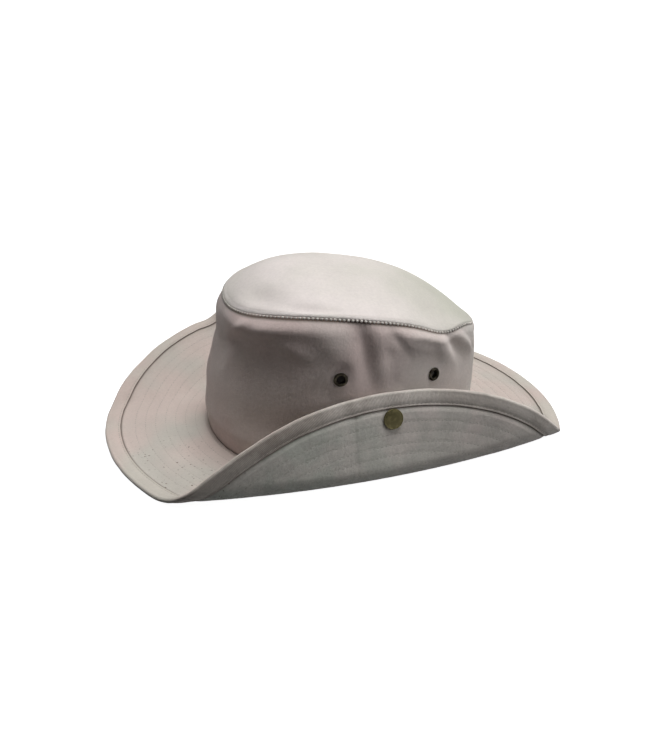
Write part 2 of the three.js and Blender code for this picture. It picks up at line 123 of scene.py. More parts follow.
# Each row is a soft ridge or hollow of the band: degrees round, share of the height, degrees wide,
# share of the height tall, millimetres out, and degrees of slant for the full height.
BAND_FOLDS = [
    (-12, 0.8, 4.0, 0.2, -3.2, -15), (-6, 0.78, 3.5, 0.2, 1.6, -12), (-23, 0.8, 7, 0.16, 2.2, -20),
    (2, 0.88, 3, 0.08, -1.2, -50), (12, 0.885, 15, 0.065, 2.9, 0), (25, 0.86, 4.5, 0.12, 2.0, -35),
    (33, 0.86, 4, 0.12, -2.2, -45), (41, 0.86, 3.5, 0.1, 2.4, -60), (-67, 0.92, 4, 0.07, 1.3, 100),
    (-86, 0.7, 8, 0.12, -2.2, 0), (-54, 0.865, 26, 0.07, 2.4, 0), (-54, 0.925, 27, 0.05, 4.5, 0),
    (16, 0.935, 17, 0.035, 2.8, 0), (80, 0.93, 30, 0.04, 1.6, 0), (-54, 0.62, 23, 0.15, -2.0, 0),
    (-40, 0.27, 24, 0.16, -2.6, 0), (100, 0.6, 16, 0.2, -1.6, 10), (78, 0.84, 5, 0.12, 1.0, 30),
    (192, 0.78, 5, 0.2, -2.0, 12), (203, 0.8, 6, 0.16, 1.2, 16), (150, 0.86, 5, 0.12, -1.2, 30),
    (232, 0.64, 24, 0.16, -1.8, 0), (-112, 0.74, 10, 0.07, -1.7, 0), (-112, 0.89, 12, 0.06, 1.3, 0),
    (-108, 0.4, 10, 0.1, 1.0, 0), (-72, 0.8, 6, 0.07, -1.5, 60), (-40, 0.79, 6, 0.06, 1.5, -70),
    (-31, 0.62, 6, 0.1, 1.2, 50),
]
# The same for the dents of the top: degrees, share of the way out, degrees wide, share long, lift.
TOP_DENTS = [
    (-68, 0.88, 13, 0.08, -2.8), (-36, 0.935, 13, 0.045, -1.9), (30, 0.85, 16, 0.12, -1.2),
    (140, 0.82, 18, 0.12, -1.4), (245, 0.86, 16, 0.1, -1.2),
]
# The seam is pulled up or down in places: degrees, degrees wide, millimetres up.
SEAM_PULLS = [(-30, 36, 4.0), (25, 12, -4.0), (44, 9, 1.6)]
print(len(BAND_FOLDS), "folds in the band and", len(TOP_DENTS), "dents in the top")

# %% [markdown]
# ## Shapes as sums
# Cloth that has been worn has no straight lines to extrude. It could be sculpted by hand, but then
# nobody could repeat it. Here each surface is a sum instead: an oval, a curl, a few soft bumps and
# a little fine unevenness. A flat grid is made first and then each sum moves its points.

# %% Ovals and small helpers
def joined(*parts):
    return np.stack(np.broadcast_arrays(*parts), -1)


def unit(arrows):
    return arrows / np.linalg.norm(arrows, axis=-1, keepdims=True)


def levelled(arrows):
    return unit(joined(arrows[..., 0], arrows[..., 1], 0))


def walked(points):
    """How far along a line each of its points lies."""
    return np.concatenate([[0], np.cumsum(np.linalg.norm(np.diff(points, axis=0), axis=1))])


def eased(share):
    share = np.clip(share, 0, 1)
    return share * share * (3 - 2 * share)


def bump(distance, width):
    return np.exp(-((distance / width) ** 2))


def turn_between(start, end):
    """The shorter way round from one angle to another, in degrees."""
    return (end - start + 180) % 360 - 180


def oval(sizes, angle, spare=0.0):
    """Between an ellipse, where square is 2, and a rounded rectangle. spare is added all round."""
    c, s = np.cos(angle), np.sin(angle)
    reach = (np.abs(c) ** sizes.square + np.abs(s) ** sizes.square) ** (-1 / sizes.square)
    return joined((sizes.half_width + spare) * reach * c, (sizes.half_length + spare) * reach * s)


LUMPS = np.random.RandomState(7).uniform(-1, 1, (24, 24, 24))


def uneven(points, size):
    """Soft noise between about -1 and 1. size is how far apart its lumps are, in millimetres."""
    place = points / size + 11.3
    cell = np.floor(place).astype(int)
    share = eased(place - cell)
    total = 0
    for corner in np.ndindex(2, 2, 2):
        weight = np.prod(np.where(corner, share, 1 - share), -1)
        total = total + weight * LUMPS[tuple(((cell + corner) % 24)[..., axis] for axis in range(3))]
    return total


def rumpled(points, *waves):
    return sum(high * uneven(points, apart) for high, apart in waves)


def round_wave(angle, reach, layer, high, apart):
    """An uneven wave read on a circle, so that it meets itself."""
    return high * uneven(joined(reach * np.cos(angle), reach * np.sin(angle), layer), apart)


print("head opening reaches", oval(HEAD, np.radians([0, 90])).round(1).tolist())

# %% The brim's surface
def flat_brim(angle, out):
    """A point of the brim before it is curled: angle round the head, millimetres out across it."""
    share = np.asarray(out / BRIM.width)[..., None]
    return oval(HEAD, angle) * (1 - share) + oval(BRIM_EDGE, angle) * share


def curled(flat):
    """The flat brim's points carried up round the curl at each side of the hat."""
    across, along = flat[..., 0], flat[..., 1]
    share = np.minimum(CURL_LIMIT, np.abs(along) / CURL_REACH) ** 2
    opened = eased((-along - OPEN.start) / (OPEN.end - OPEN.start)) * (across < 0)
    parts = (opened ** 2, opened ** 2, 1 - (1 - opened) ** 2)
    shut = (row[0] + (row[1] - row[0]) * share for row in (CURL.line, CURL.radius, CURL.turn))
    line, radius, turn = (start * (1 - part) + end * part for start, end, part in zip(
        shut, (OPEN.line, OPEN.radius, OPEN.turn), parts))
    past = np.maximum(np.abs(across) - line, 0)
    arc = np.minimum(past / radius, turn)
    straight = np.maximum(past - radius * turn, 0)
    side = np.minimum(np.abs(across), line) + radius * np.sin(arc) + straight * np.cos(turn)
    high = radius * (1 - np.cos(arc)) + straight * np.sin(turn)
    return joined(np.sign(across) * side, along, BRIM.half + open_height(flat, high, opened))


def open_height(flat, high, opened):
    """One corner hangs open: it is held down beside the crown, and its edge dips a little."""
    share = (np.abs(flat[..., 0] / BRIM_EDGE.half_width) ** BRIM.square
             + np.abs(flat[..., 1] / BRIM_EDGE.half_length) ** BRIM.square) ** (1 / BRIM.square)
    rise = 1 - opened * (1 - eased((share - OPEN.held) / (OPEN.free - OPEN.held)))
    near = np.clip(1 - (1 - share) * BRIM_EDGE.half_width / OPEN.dip_width, 0, 1)
    low, high_end = OPEN.dip_fades
    fade = eased((high_end - np.abs(flat[..., 1])) / (high_end - low))
    return high * rise - OPEN.dip * near ** 2 * opened * fade


def brim_frame(flat):
    """Points of the curled brim, and the direction out of its upper face."""
    step = 0.01
    point = curled(flat)
    across = curled(flat + (step, 0)) - point
    along = curled(flat + (0, step)) - point
    return point, unit(np.cross(across, along))


def brim_waves(flat):
    """The brim is never quite smooth: it waves gently, and most where the curl runs out."""
    across, along = flat[..., 0], flat[..., 1]
    loose = eased((np.hypot(across, along) - BRIM_WAVES.start) / BRIM_WAVES.grow)
    long_wave = rumpled(joined(across, along, 0), BRIM_WAVES.long)
    return (long_wave + rumpled(joined(across, along, 9), BRIM_WAVES.short)) * loose


def on_brim(angle, out, above):
    """A point of the finished brim, above or below the middle of its cloth."""
    flat = flat_brim(angle, out)
    point, up = brim_frame(flat)
    lift = TAPE.lift * eased((out - BRIM.width + TAPE.width) / TAPE.ramp + 1)
    settled = eased((point[..., 2] - BRIM.half - BRIM_WAVES.floor_gap) / BRIM_WAVES.floor_fade)
    return point + up * (above + lift + settled * brim_waves(flat))[..., None]


print("brim reaches", np.round(on_brim(np.radians([0.0, 90.0]), np.float64(BRIM.width), 0.0), 1).tolist())

# %% The crown's surfaces
def seam(angle, share=1.0):
    """The line where the band meets the top, or the same line drawn in by a share."""
    flat = oval(CROWN, angle)
    from_front = turn_between(-90, np.degrees(angle))
    wave = TOP.sides_up * np.cos(2 * angle) - TOP.front_down * bump(from_front, TOP.front_spread)
    wave = wave + sum(lift * bump(turn_between(at, np.degrees(angle)), wide) for at, wide, lift in SEAM_PULLS)
    plane = flat[..., 1] * math.tan(math.radians(TOP.pitch)) + flat[..., 0] * math.tan(math.radians(TOP.roll))
    rim = share ** DOME.rim_power
    high = FOOT + CROWN.height + plane * (share + rim * (1 - share)) + wave * rim
    return joined(flat[..., 0] * share, flat[..., 1] * share + TOP.back, high)


def on_top(angle, share):
    """The top: a dome that is flat in the middle and steep at its rim, with its dents."""
    dent = sum(lift * bump(turn_between(at, np.degrees(angle)), wide) * bump(share - out, long)
               for at, out, wide, long, lift in TOP_DENTS)
    point = seam(angle, share)
    soft = (dent + rumpled(point, *TOP_WAVES)) * np.minimum(1, (1 - share) / DOME.soft_edge)
    return point + joined(0, 0, DOME.rise * (1 - share ** DOME.fullness) + soft)


def on_band(angle, up, calm=1.0):
    """The band's middle surface. calm holds its folds down, to 0 for plain cloth."""
    head = oval(HEAD, angle)
    foot = joined(head[..., 0], head[..., 1], FOOT)
    share = np.asarray(up)[..., None]
    plain = foot * (1 - share) + seam(angle) * share
    shoulder = SIDE.flare * (1 - np.clip((1 - up) / SIDE.shoulder, 0, 1)) ** 2
    flare = SIDE.belly * np.sin(np.pi * up) + SIDE.flare - shoulder
    degrees = np.degrees(angle)
    fold = sum(out * bump(turn_between(at + slant * (up - high), degrees), wide) * bump(up - high, tall)
               for at, high, wide, tall, out, slant in BAND_FOLDS)
    rumple = rumpled(plain, *BAND_WAVES.waves) * (BAND_WAVES.at_foot + BAND_WAVES.more_above * np.asarray(up))
    soft = (fold + rumple) * calm * np.minimum(1, (1 - up) / BAND_WAVES.soft_edge)
    out = flare * np.clip(up / SIDE.foot, 0, 1) + soft
    return plain + joined(np.cos(angle), np.sin(angle), 0) * np.asarray(out)[..., None]


print("middle of the left side's seam:", np.round(seam(0.0), 1).tolist(), "mm")

# %% [markdown]
# ## Where the metal goes
# Each eyelet is known by how far along the hat and how high it is, so its angle on the curved band
# is found by stepping towards it. The stud is found by following the cap's axis to the band. The
# folds fade out round each fitting, because the metal holds the cloth flat.

# %% Find the fittings
EYELETS = {"front": (-29.4, 69.6), "rear": (37.2, 63.7)}
SNAP = Sizes(along=2.1, out=56.2)
SIGNS = {"left": 1, "right": -1}
# The cloth is flat up to the first mm from a fitting, and free from the second.
HELD_FLAT = (5.0, 12.0)


def place_on_band(along, height, sign):
    """The angle and share of height that lie at this distance along the hat and this height."""
    angle, up = (0.0 if sign > 0 else math.pi), 0.5
    for _ in range(12):
        point = on_band(angle, up, 0.0)
        angle -= sign * (point[1] - along) / HEAD.half_length
        up -= (point[2] - height) / CROWN.height
    return angle, up


def band_frame(place):
    """A point of the plain band, and the direction out of it."""
    angle, up = place
    step = 0.002
    point = on_band(angle, up, 0.0)
    way_round = on_band(angle + step, up, 0.0) - point
    return point, unit(np.cross(way_round, on_band(angle, up + step, 0.0) - point))


def cap_frame(sign):
    """Where a snap's cap sits under the brim, and how it faces."""
    point, up = brim_frame(np.array((sign * (HEAD.half_width + SNAP.out), SNAP.along)))
    return point, -up


def stud_place(sign):
    point, out = cap_frame(sign)
    place = place_on_band(point[1], point[2], sign)
    for _ in range(6):
        far = (on_band(*place, 0.0)[0] - point[0]) / out[0]
        target = point + out * far
        place = place_on_band(target[1], target[2], sign)
    return place


eyelet_places = {f"eyelet_{hand}_{end}": place_on_band(*EYELETS[end], sign)
                 for hand, sign in SIGNS.items() for end in EYELETS}
stud_places = {hand: stud_place(sign) for hand, sign in SIGNS.items()}
held_places = [*eyelet_places.values(), *stud_places.values()]


def calm_at(angle, up):
    """0 where a fitting holds the cloth flat, and 1 where its folds are free."""
    low, high = HELD_FLAT
    calm = 1.0
    for at, share in held_places:
        way_round = np.radians(turn_between(np.degrees(at), np.degrees(angle))) * HEAD.half_length
        away = np.hypot(way_round, (up - share) * CROWN.height)
        calm = np.minimum(calm, eased((away - low) / (high - low)))
    return calm


for name, place in eyelet_places.items():
    print(name, "at", np.round(band_frame(place)[0], 1).tolist())

# %% [markdown]
# ## From a grid to a sheet of cloth
# A grid operator gives tidy rows of faces and a flat map. The sum for the surface then moves every
# point at once, which is quick even for a hundred thousand of them. Points that meet, at a join or
# in the middle of the top, are merged, and the faces are turned outwards before any thickness.

# %% Bend a grid
def unmarked(angle, step):
    return angle * 0


def bent_grid(name, round_steps, across_steps, place, cut, painted_shade=unmarked, under=unmarked):
    """A grid bent into a closed ring. place gives points in mm, and cut gives the flat pattern.

    Of its two marks, the first darkens the cloth as painted shade in stitched grooves, along the
    tape's hem and in the band's corners, with a dark line at the brim's join; under marks the
    brim's under face."""
    cloth = bmesh.new()
    cloth.loops.layers.uv.new("cut")
    bmesh.ops.create_grid(cloth, x_segments=round_steps, y_segments=across_steps, size=0.5, calc_uvs=True)
    mesh = bpy.data.meshes.new(name)
    cloth.to_mesh(mesh)
    spots = np.zeros(len(mesh.vertices) * 3)
    mesh.vertices.foreach_get("co", spots)
    spots = spots.reshape(-1, 3) + 0.5
    angle, step = spots[:, 0] * 2 * np.pi, np.rint(spots[:, 1] * across_steps).astype(int)
    mesh.vertices.foreach_set("co", (place(angle, step) * MM).ravel())
    for mark, value in (("painted_shade", painted_shade), ("under", under)):
        mesh.attributes.new(mark, "FLOAT", "POINT").data.foreach_set("value", value(angle, step).astype(float))
    pattern, flat = mesh.uv_layers["cut"].uv, np.zeros(len(mesh.loops) * 2)
    pattern.foreach_get("vector", flat)
    turn, share = flat.reshape(-1, 2).T
    flat = cut(turn * 2 * np.pi, np.rint(share * across_steps).astype(int)) * MM
    pattern.foreach_set("vector", flat.ravel())
    cloth.clear()
    cloth.from_mesh(mesh)
    bmesh.ops.remove_doubles(cloth, verts=cloth.verts, dist=1e-6)
    bmesh.ops.recalc_face_normals(cloth, faces=cloth.faces)
    return cloth, mesh


def finished(name, cloth, mesh=None):
    """Puts the worked mesh into the scene as a piece that rides with the hat."""
    mesh = mesh or bpy.data.meshes.new(name)
    for face in cloth.faces:
        face.smooth = True
    bmesh.ops.translate(cloth, verts=cloth.verts, vec=HEAD_OFFSET)
    cloth.to_mesh(mesh)
    cloth.free()
    piece = placed(name, mesh)
    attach(piece, "root")
    return piece


INSIDE = Vector((0, TOP.back, 40)) * MM


def turned_out(cloth):
    """An open sheet may come out of the last step inside out, so its faces are checked."""
    outward = sum((face.calc_center_median() - INSIDE).dot(face.normal) for face in cloth.faces)
    if outward < 0:
        bmesh.ops.reverse_faces(cloth, faces=cloth.faces)


def thickened(piece, millimetres):
    wall = piece.modifiers.new("cloth thickness", "SOLIDIFY")
    wall.thickness = millimetres * MM
    wall.offset = 0
    wall.use_rim = True
    return piece


# %% [markdown]
# ## The brim
# Two layers of cloth are stitched together in rings, and each ring pulls a small valley into both
# faces. A bump map would lose the valleys at the edge, so they are real here: the section of the
# brim has a point in each valley and two on each shoulder. The section is closed, top and under.

# %% Sew the brim
ROWS = Sizes(first=3.0, apart=7.15, count=8, deep=0.06, wide=0.7, puff=0.045)
ROW_OUTS = [ROWS.first + ROWS.apart * row for row in range(ROWS.count)]
ROW_STEPS = (0, 0.5, 1.2, 2.4, 3.6, 4.8, 5.95, 6.65)
HEM = BRIM.width - TAPE.width
# The section's points at the head opening and at the tape's hem.
INNER_STEPS = (-BRIM.tuck, -1, 0, 0.9, 1.8, 2.5)
HEM_STEPS = (-1.6, -0.6, 0, 0.4, 0.8, 1.2)
# Threads pull between the rows, and the brim thins under the tape.
PULLS, THINS = Sizes(high=0.07, apart=4.5, round=110, out=0.45), Sizes(start=0.2, over=0.8)


def brim_half(angle, out):
    """Half the brim's thickness: valleys at the rows, soft quilting between, thin under the tape."""
    from_row = np.abs((out - ROWS.first + ROWS.apart / 2) % ROWS.apart - ROWS.apart / 2)
    quilted = (out > ROWS.first - ROWS.apart / 2) & (out < ROW_OUTS[-1] + ROWS.apart / 2)
    valley = -ROWS.deep * bump(from_row, ROWS.wide) + ROWS.puff * np.sin(np.pi * from_row / ROWS.apart)
    pull = PULLS.high * uneven(joined(angle * PULLS.round, out * PULLS.out, 3), PULLS.apart)
    thin = eased((out - HEM - THINS.start) / THINS.over)
    soft = np.where(quilted, valley + pull, 0) * (1 - thin)
    return BRIM.half + (BRIM.half_thin - BRIM.half) * thin + soft


def brim_section():
    """Distances out across the brim, over the top face and back along the under face."""
    top = [out + step for out in ROW_OUTS for step in ROW_STEPS]
    top += [*INNER_STEPS, *(HEM + step for step in HEM_STEPS), BRIM.width - TAPE.thick - 0.3]
    top = sorted({round(out, 3) for out in top})
    return np.array(top + top[::-1] + top[:1]), np.array([1] * len(top) + [-1] * len(top) + [1])


section_out, section_face = brim_section()


def brim_spot(angle, step):
    out, face = section_out[step], section_face[step]
    return on_brim(angle, out, face * brim_half(angle, out))


# The cloth is joined along a line: degrees round at the hem, and degrees more for each mm inwards.
BRIM_JOIN = Sizes(hem=-8.5, slant=-0.075, inside=3)
# Strength and width in mm of the painted shade along the rows and the tape's hem, and of the dark line at the
# join.
PAINTED_SHADE_LINES = Sizes(row=0.10, join=0.35, row_wide=0.8, hem_wide=0.6, join_wide=0.5)


def row_painted_shade(angle, out):
    """Painted shade along the brim's rows and under the tape's hem, and a dark line at its join."""
    from_row = np.min([np.abs(out - row) for row in ROW_OUTS], 0)
    join = BRIM_JOIN.hem + BRIM_JOIN.slant * (HEM - out)
    line = bump(turn_between(join, np.degrees(angle)), PAINTED_SHADE_LINES.join_wide) * (out > ROWS.first - BRIM_JOIN.inside)
    rows = PAINTED_SHADE_LINES.row * bump(from_row, PAINTED_SHADE_LINES.row_wide)
    return rows + bump(out - HEM + 0.1, PAINTED_SHADE_LINES.hem_wide) + PAINTED_SHADE_LINES.join * line


brim_cloth, brim_mesh = bent_grid(
    "brim_cloth", 540, len(section_out) - 1, brim_spot,
    lambda angle, step: flat_brim(angle, section_out[step]),
    lambda angle, step: row_painted_shade(angle, section_out[step]),
    lambda angle, step: section_face[step] < 0)
brim = finished("brim_cloth", brim_cloth, brim_mesh)
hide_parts("brim")
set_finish(brim, "brim_cloth")
print("brim faces:", len(brim.data.polygons))

# %% [markdown]
# ## The tape round the edge
# The tape is folded over the edge and stitched through. It is soft, so it swells between the fold
# and the stitching, is pulled in at the stitches, and its own folded hem stands a little off the
# brim. Two joins show where its ends overlap.

# %% Fold the tape
STITCH_IN = 1.7
# The tape's joins: degrees round, mm wide and mm thicker.
TAPE_JOINS = [(-8.5, 3.4, 0.55), (104.0, 1.1, 0.22)]
# One face of the tape: mm past its hem, mm above the brim's middle, and how far it swells. The
# hem comes first, then the groove of the stitching, then the padded part.
TAPE_FACE = [(0.15, 1.05, 0.0), (0.0, 1.3, 0.0), (0.12, 1.5, 0.0), (0.8, 1.55, 0.1), (1.35, 1.5, 0.0),
             (1.7, 1.5, -0.35), (2.05, 1.5, 0.0), (3.0, 1.6, 0.5), (4.2, 1.6, 0.9), (5.4, 1.6, 1.0),
             (6.6, 1.6, 0.9), (7.8, 1.6, 0.55), (8.7, 1.6, 0.25)]
# How far it swells, its fold's radius, its inner face, and its strip's length for a radian.
TAPE_CLOTH = Sizes(swell=0.34, fold=1.75, inner=BRIM.half_thin + 0.22, strip=158)


def tape_section():
    """The tape's section: out across the brim, above its middle, and how far it may swell."""
    face, fold = [(HEM + past, above, swell) for past, above, swell in TAPE_FACE], TAPE_CLOTH.fold
    round_edge = [(BRIM.width - fold + fold * math.sin(a), fold * math.cos(a), 0.0)
                  for a in np.radians(np.linspace(10, 170, 9))]
    under = [(out, -above, swell) for out, above, swell in face[::-1]]
    corners = ((HEM + 0.5, -1), (BRIM.width - 1.3, -1), (BRIM.width - 1.3, 1), (HEM + 0.5, 1))
    inside = [(out, side * TAPE_CLOTH.inner, 0) for out, side in corners]
    rows = face + round_edge + under + inside
    return np.array(rows + rows[:1], float)


tape_rows = tape_section()


def tape_spot(angle, step):
    out, above, swell = tape_rows[step].T
    face = np.sign(above)
    soft = 1 + round_wave(angle, REACH.edge, 5, 0.35, 9) + round_wave(angle, REACH.edge, face * 9, 0.25, 3.2)
    join = sum(thick * bump(turn_between(at, np.degrees(angle)) * REACH.edge * math.pi / 180, wide)
               for at, wide, thick in TAPE_JOINS)
    padded = face * (np.abs(above) + TAPE_CLOTH.swell * swell * soft + join * (np.abs(above) > 1))
    edge = out + round_wave(angle, REACH.edge, 11, 0.16, 7) * (out > HEM + 9)
    hem = edge + round_wave(angle, REACH.edge, face * 5, 0.22, 6) * (np.abs(out - HEM) < 0.9)
    return on_brim(angle, hem, padded)


def tape_painted_shade(angle, step):
    """Painted shade, a little in the groove of the tape's stitching and most along its hem."""
    past = tape_rows[step, 0] - HEM
    return 0.15 * bump(past - STITCH_IN, 0.4) + 1.2 * bump(past, 0.35)


tape_walk = walked(tape_rows[:, :2])
tape_cloth, tape_mesh = bent_grid(
    "binding_tape", 760, len(tape_rows) - 1, tape_spot,
    lambda angle, step: joined(angle * TAPE_CLOTH.strip, tape_walk[step]), tape_painted_shade,
    lambda angle, step: tape_rows[step, 1] < 0)
tape = finished("binding_tape", tape_cloth, tape_mesh)
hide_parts("brim_binding")
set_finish(tape, "binding_tape")
print("tape faces:", len(tape.data.polygons))

# %% [markdown]
# ## The band round the head
# The band is one strip of cloth. Its folds were made when the brim was snapped up and the crown was
# pushed in by hand, so they are deepest near the seam. Where an eyelet goes through, the faces are
# taken out and the metal covers the cut edge.

# %% Bend the band
BAND_STEPS = Sizes(round=470, up=66, crowding=1.25)
# The shares of its height where the cloth ends, and its strip's length for a radian.
BAND_CLOTH = Sizes(foot=-0.002, top=0.988, strip=90)


def band_share(step):
    """Steps are closer together towards the seam, where the cloth turns over."""
    share = step / BAND_STEPS.up
    return BAND_CLOTH.top * (1 - (1 - share) ** BAND_STEPS.crowding) + BAND_CLOTH.foot * (1 - share)


def band_spot(angle, step):
    up = band_share(step)
    return on_band(angle, up, calm_at(angle, up))


def band_painted_shade(angle, step):
    """Painted shade where the band meets the brim, and most in the corner under the bead."""
    up = band_share(step)
    return bump(up, 0.012) + 1.3 * bump(up - 0.976, 0.010)


band_cloth, band_mesh = bent_grid(
    "crown_band", BAND_STEPS.round, BAND_STEPS.up, band_spot,
    lambda angle, step: joined(angle * BAND_CLOTH.strip, band_share(step) * CROWN.height),
    band_painted_shade)
turned_out(band_cloth)
HOLE = 3.5 * MM
eyelet_points = [Vector(band_frame(place)[0]) * MM for place in eyelet_places.values()]
cut_away = [face for face in band_cloth.faces
            if min((face.calc_center_median() - point).length for point in eyelet_points) < HOLE]
bmesh.ops.delete(band_cloth, geom=cut_away, context="FACES")
band = thickened(finished("crown_band", band_cloth, band_mesh), CROWN.thick)
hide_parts("crown_side")
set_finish(band, "crown_side_cloth")
print("band faces:", len(band.data.polygons), "after", len(cut_away), "were cut away for eyelets")

# %% [markdown]
# ## The top
# The top is an oval whose edge is folded down over the band and stitched through, which leaves a
# narrow bead all round. The grid's last rows follow that bead: a little rise, then a tight turn
# down over the edge of the band.

# %% Dome the top
TOP_STEPS = Sizes(round=360, out=58)
# The bead: mm outwards from the seam and mm above it, from the flat of the top to the cut edge.
BEAD = [(-2.3, -0.02), (-1.7, -0.06), (-1.25, 0.06), (-0.85, 0.3), (-0.35, 0.42), (0.1, 0.36), (0.55, 0.08),
        (0.85, -0.35), (0.95, -0.85)]
# Where the flat part ends inside the seam, and where the bead turns level, in mm.
BEAD_STARTS, BEAD_TURNS = 3.0, Sizes(start=-0.9, over=1.2)


def seam_frame(angle):
    """Out from the seam across the cloth, and up out of the top, at this angle."""
    near = 0.03
    point = seam(angle)
    inward = unit(on_top(angle, np.full_like(angle, 1 - near)) - point)
    way_round = unit(seam(angle + near) - seam(angle - near))
    up = unit(np.cross(inward, way_round))
    return point, -inward, up * np.sign(up[..., 2:3])


def top_spot(angle, step):
    flat_steps = TOP_STEPS.out - len(BEAD)
    share = np.minimum(step / flat_steps, 1.0)
    flat_part = on_top(angle, share * (1 - BEAD_STARTS / np.linalg.norm(oval(CROWN, angle), axis=-1)))
    point, out, up = seam_frame(angle)
    past, above = np.array(BEAD)[np.clip(step - flat_steps - 1, 0, len(BEAD) - 1)].T
    wobble = 1 + round_wave(angle, REACH.seam, 5, 0.25, 5)
    turned = eased((past - BEAD_TURNS.start) / BEAD_TURNS.over)[:, None]
    bead = point + (out * (1 - turned) + levelled(out) * turned) * past[:, None] \
        + (up * (1 - turned) + (0, 0, 1) * turned) * (above * wobble)[:, None]
    return np.where((step <= flat_steps)[:, None], flat_part, bead)


def top_cut(angle, step):
    return oval(CROWN, angle, 10) * (step / TOP_STEPS.out)[:, None]


top_cloth, top_mesh = bent_grid("crown_top", TOP_STEPS.round, TOP_STEPS.out, top_spot, top_cut)
turned_out(top_cloth)
top = thickened(finished("crown_top", top_cloth, top_mesh), TOP.thick)
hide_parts("crown_tip")
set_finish(top, "crown_top_cloth")
print("top faces:", len(top.data.polygons))

# %% [markdown]
# ## Stitches
# Thread is what makes cloth look sewn. One stitch is a small twisted bead that sinks into the cloth
# at both ends. It is made once and copied along every row, each copy turned to follow the surface,
# and all the copies of one seam become one piece.

# %% Make one stitch
def stitch_mesh(name, sides, rings, twist):
    """A stitch one unit long, wide and thick, thin at its ends and twisted along its length."""
    thread = bmesh.new()
    bmesh.ops.create_uvsphere(thread, u_segments=sides, v_segments=rings, radius=0.5,
                              matrix=Matrix.Rotation(math.pi / 2, 4, "Y"))
    for vert in thread.verts:
        swell = 1 + twist * math.cos(2 * math.atan2(vert.co.z, vert.co.y) + 9 * vert.co.x)
        vert.co.y *= swell
        vert.co.z *= swell
    mesh = bpy.data.meshes.new(name)
    thread.to_mesh(mesh)
    thread.free()
    return mesh


def sewn(name, thread, lines, slot, slant=0.0):
    """Copies the stitch along each line of points, outward directions and one stitch's size.

    slant turns each stitch a little across its line."""
    seam_work = bmesh.new()
    for points, outs, (long, wide, thick) in lines:
        ahead = np.roll(points, -1, 0) - np.roll(points, 1, 0)
        for point, forward, out in zip(points, unit(ahead), outs):
            out, forward = Vector(out), Vector(forward)
            side = out.cross(forward).normalized()
            forward = (side.cross(out) + side * slant).normalized()
            side = out.cross(forward)
            turn = Matrix((forward * long, side * wide, out * thick)).transposed().to_4x4()
            copy = thread.copy()
            copy.transform(Matrix.Scale(MM, 4) @ Matrix.Translation(Vector(point)) @ turn)
            seam_work.from_mesh(copy)
            bpy.data.meshes.remove(copy)
    piece = finished(name, seam_work)
    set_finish(piece, slot)
    return piece


def spaced_angles(line, apart, first=0.0):
    """Angles that cut a closed line into equal steps of about this length."""
    fine = np.linspace(0, 2 * np.pi, 2881)
    walk = walked(line(fine))
    count = int(walk[-1] / apart)
    return np.interp((np.arange(count) + first) * walk[-1] / count, walk, fine)


fine_stitch = stitch_mesh("fine_stitch", 5, 4, 0.0)
thick_stitch = stitch_mesh("thick_stitch", 8, 7, 0.14)
print("a fine stitch has", len(fine_stitch.polygons), "faces")

# %% Quilt the brim
ROW_STITCH = Sizes(apart=3.0, size=(2.1, 0.36, 0.2), above=0.02, inwards=0.0, shift=0.37)
TAPE_STITCH = Sizes(apart=2.9, size=(2.2, 0.6, 0.5), above=1.33, inwards=STITCH_IN)
SEAM_STITCH = Sizes(apart=2.8, size=(1.9, 1.7, 1.4), out=1.7, down=1.4, lean=0.5)


def row_line(out, face, stitch, wave, half, first=0.0):
    """A row of stitches on one face of the brim, which wanders a little."""
    def line(angle):
        wander = out + stitch.inwards + round_wave(angle, *wave)
        return on_brim(angle, wander, face * (half(angle, wander) + stitch.above))
    angle = spaced_angles(line, stitch.apart, first)
    _, up = brim_frame(flat_brim(angle, np.full_like(angle, out)))
    return line(angle), up * face, stitch.size


quilting = {}
for name, face in (("brim_stitches_top", 1), ("brim_stitches_under", -1)):
    rows = [row_line(out, face, ROW_STITCH, (REACH.rows, out, 0.18, 16), brim_half, row * ROW_STITCH.shift % 1)
            for row, out in enumerate(ROW_OUTS)]
    quilting[name] = sewn(name, fine_stitch, rows, "brim_cloth")
    print(name, sum(len(row[0]) for row in rows), "stitches")

# %% Stitch the tape and the crown's seam
tape_lines = [row_line(HEM, face, TAPE_STITCH, (REACH.edge, face, 0.12, 14), lambda angle, out: 0.0)
              for face in (1, -1)]
tape_stitches = sewn("tape_stitches", fine_stitch, tape_lines, "binding_tape")


def crown_line():
    def line(angle):
        point, out, _ = seam_frame(angle)
        drop = SEAM_STITCH.down + round_wave(angle, REACH.seam, 4, 0.1, 9)
        return point + levelled(out) * SEAM_STITCH.out - joined(0, 0, drop)
    angle = spaced_angles(line, SEAM_STITCH.apart)
    _, out, up = seam_frame(angle)
    return line(angle), unit(levelled(out) + SEAM_STITCH.lean * up), SEAM_STITCH.size


crown_stitches = sewn("crown_stitches", thick_stitch, [crown_line()], "crown_side_cloth", slant=0.45)
print("stitches in the crown's seam:", len(crown_stitches.data.polygons) // len(thick_stitch.polygons))

# %% [markdown]
# ## Brass fittings
# Eyelets and snaps are pressed from round brass blanks, so each is a section spun about its own
# axis. The section is drawn with a few points and its corners are rounded with a bevel.

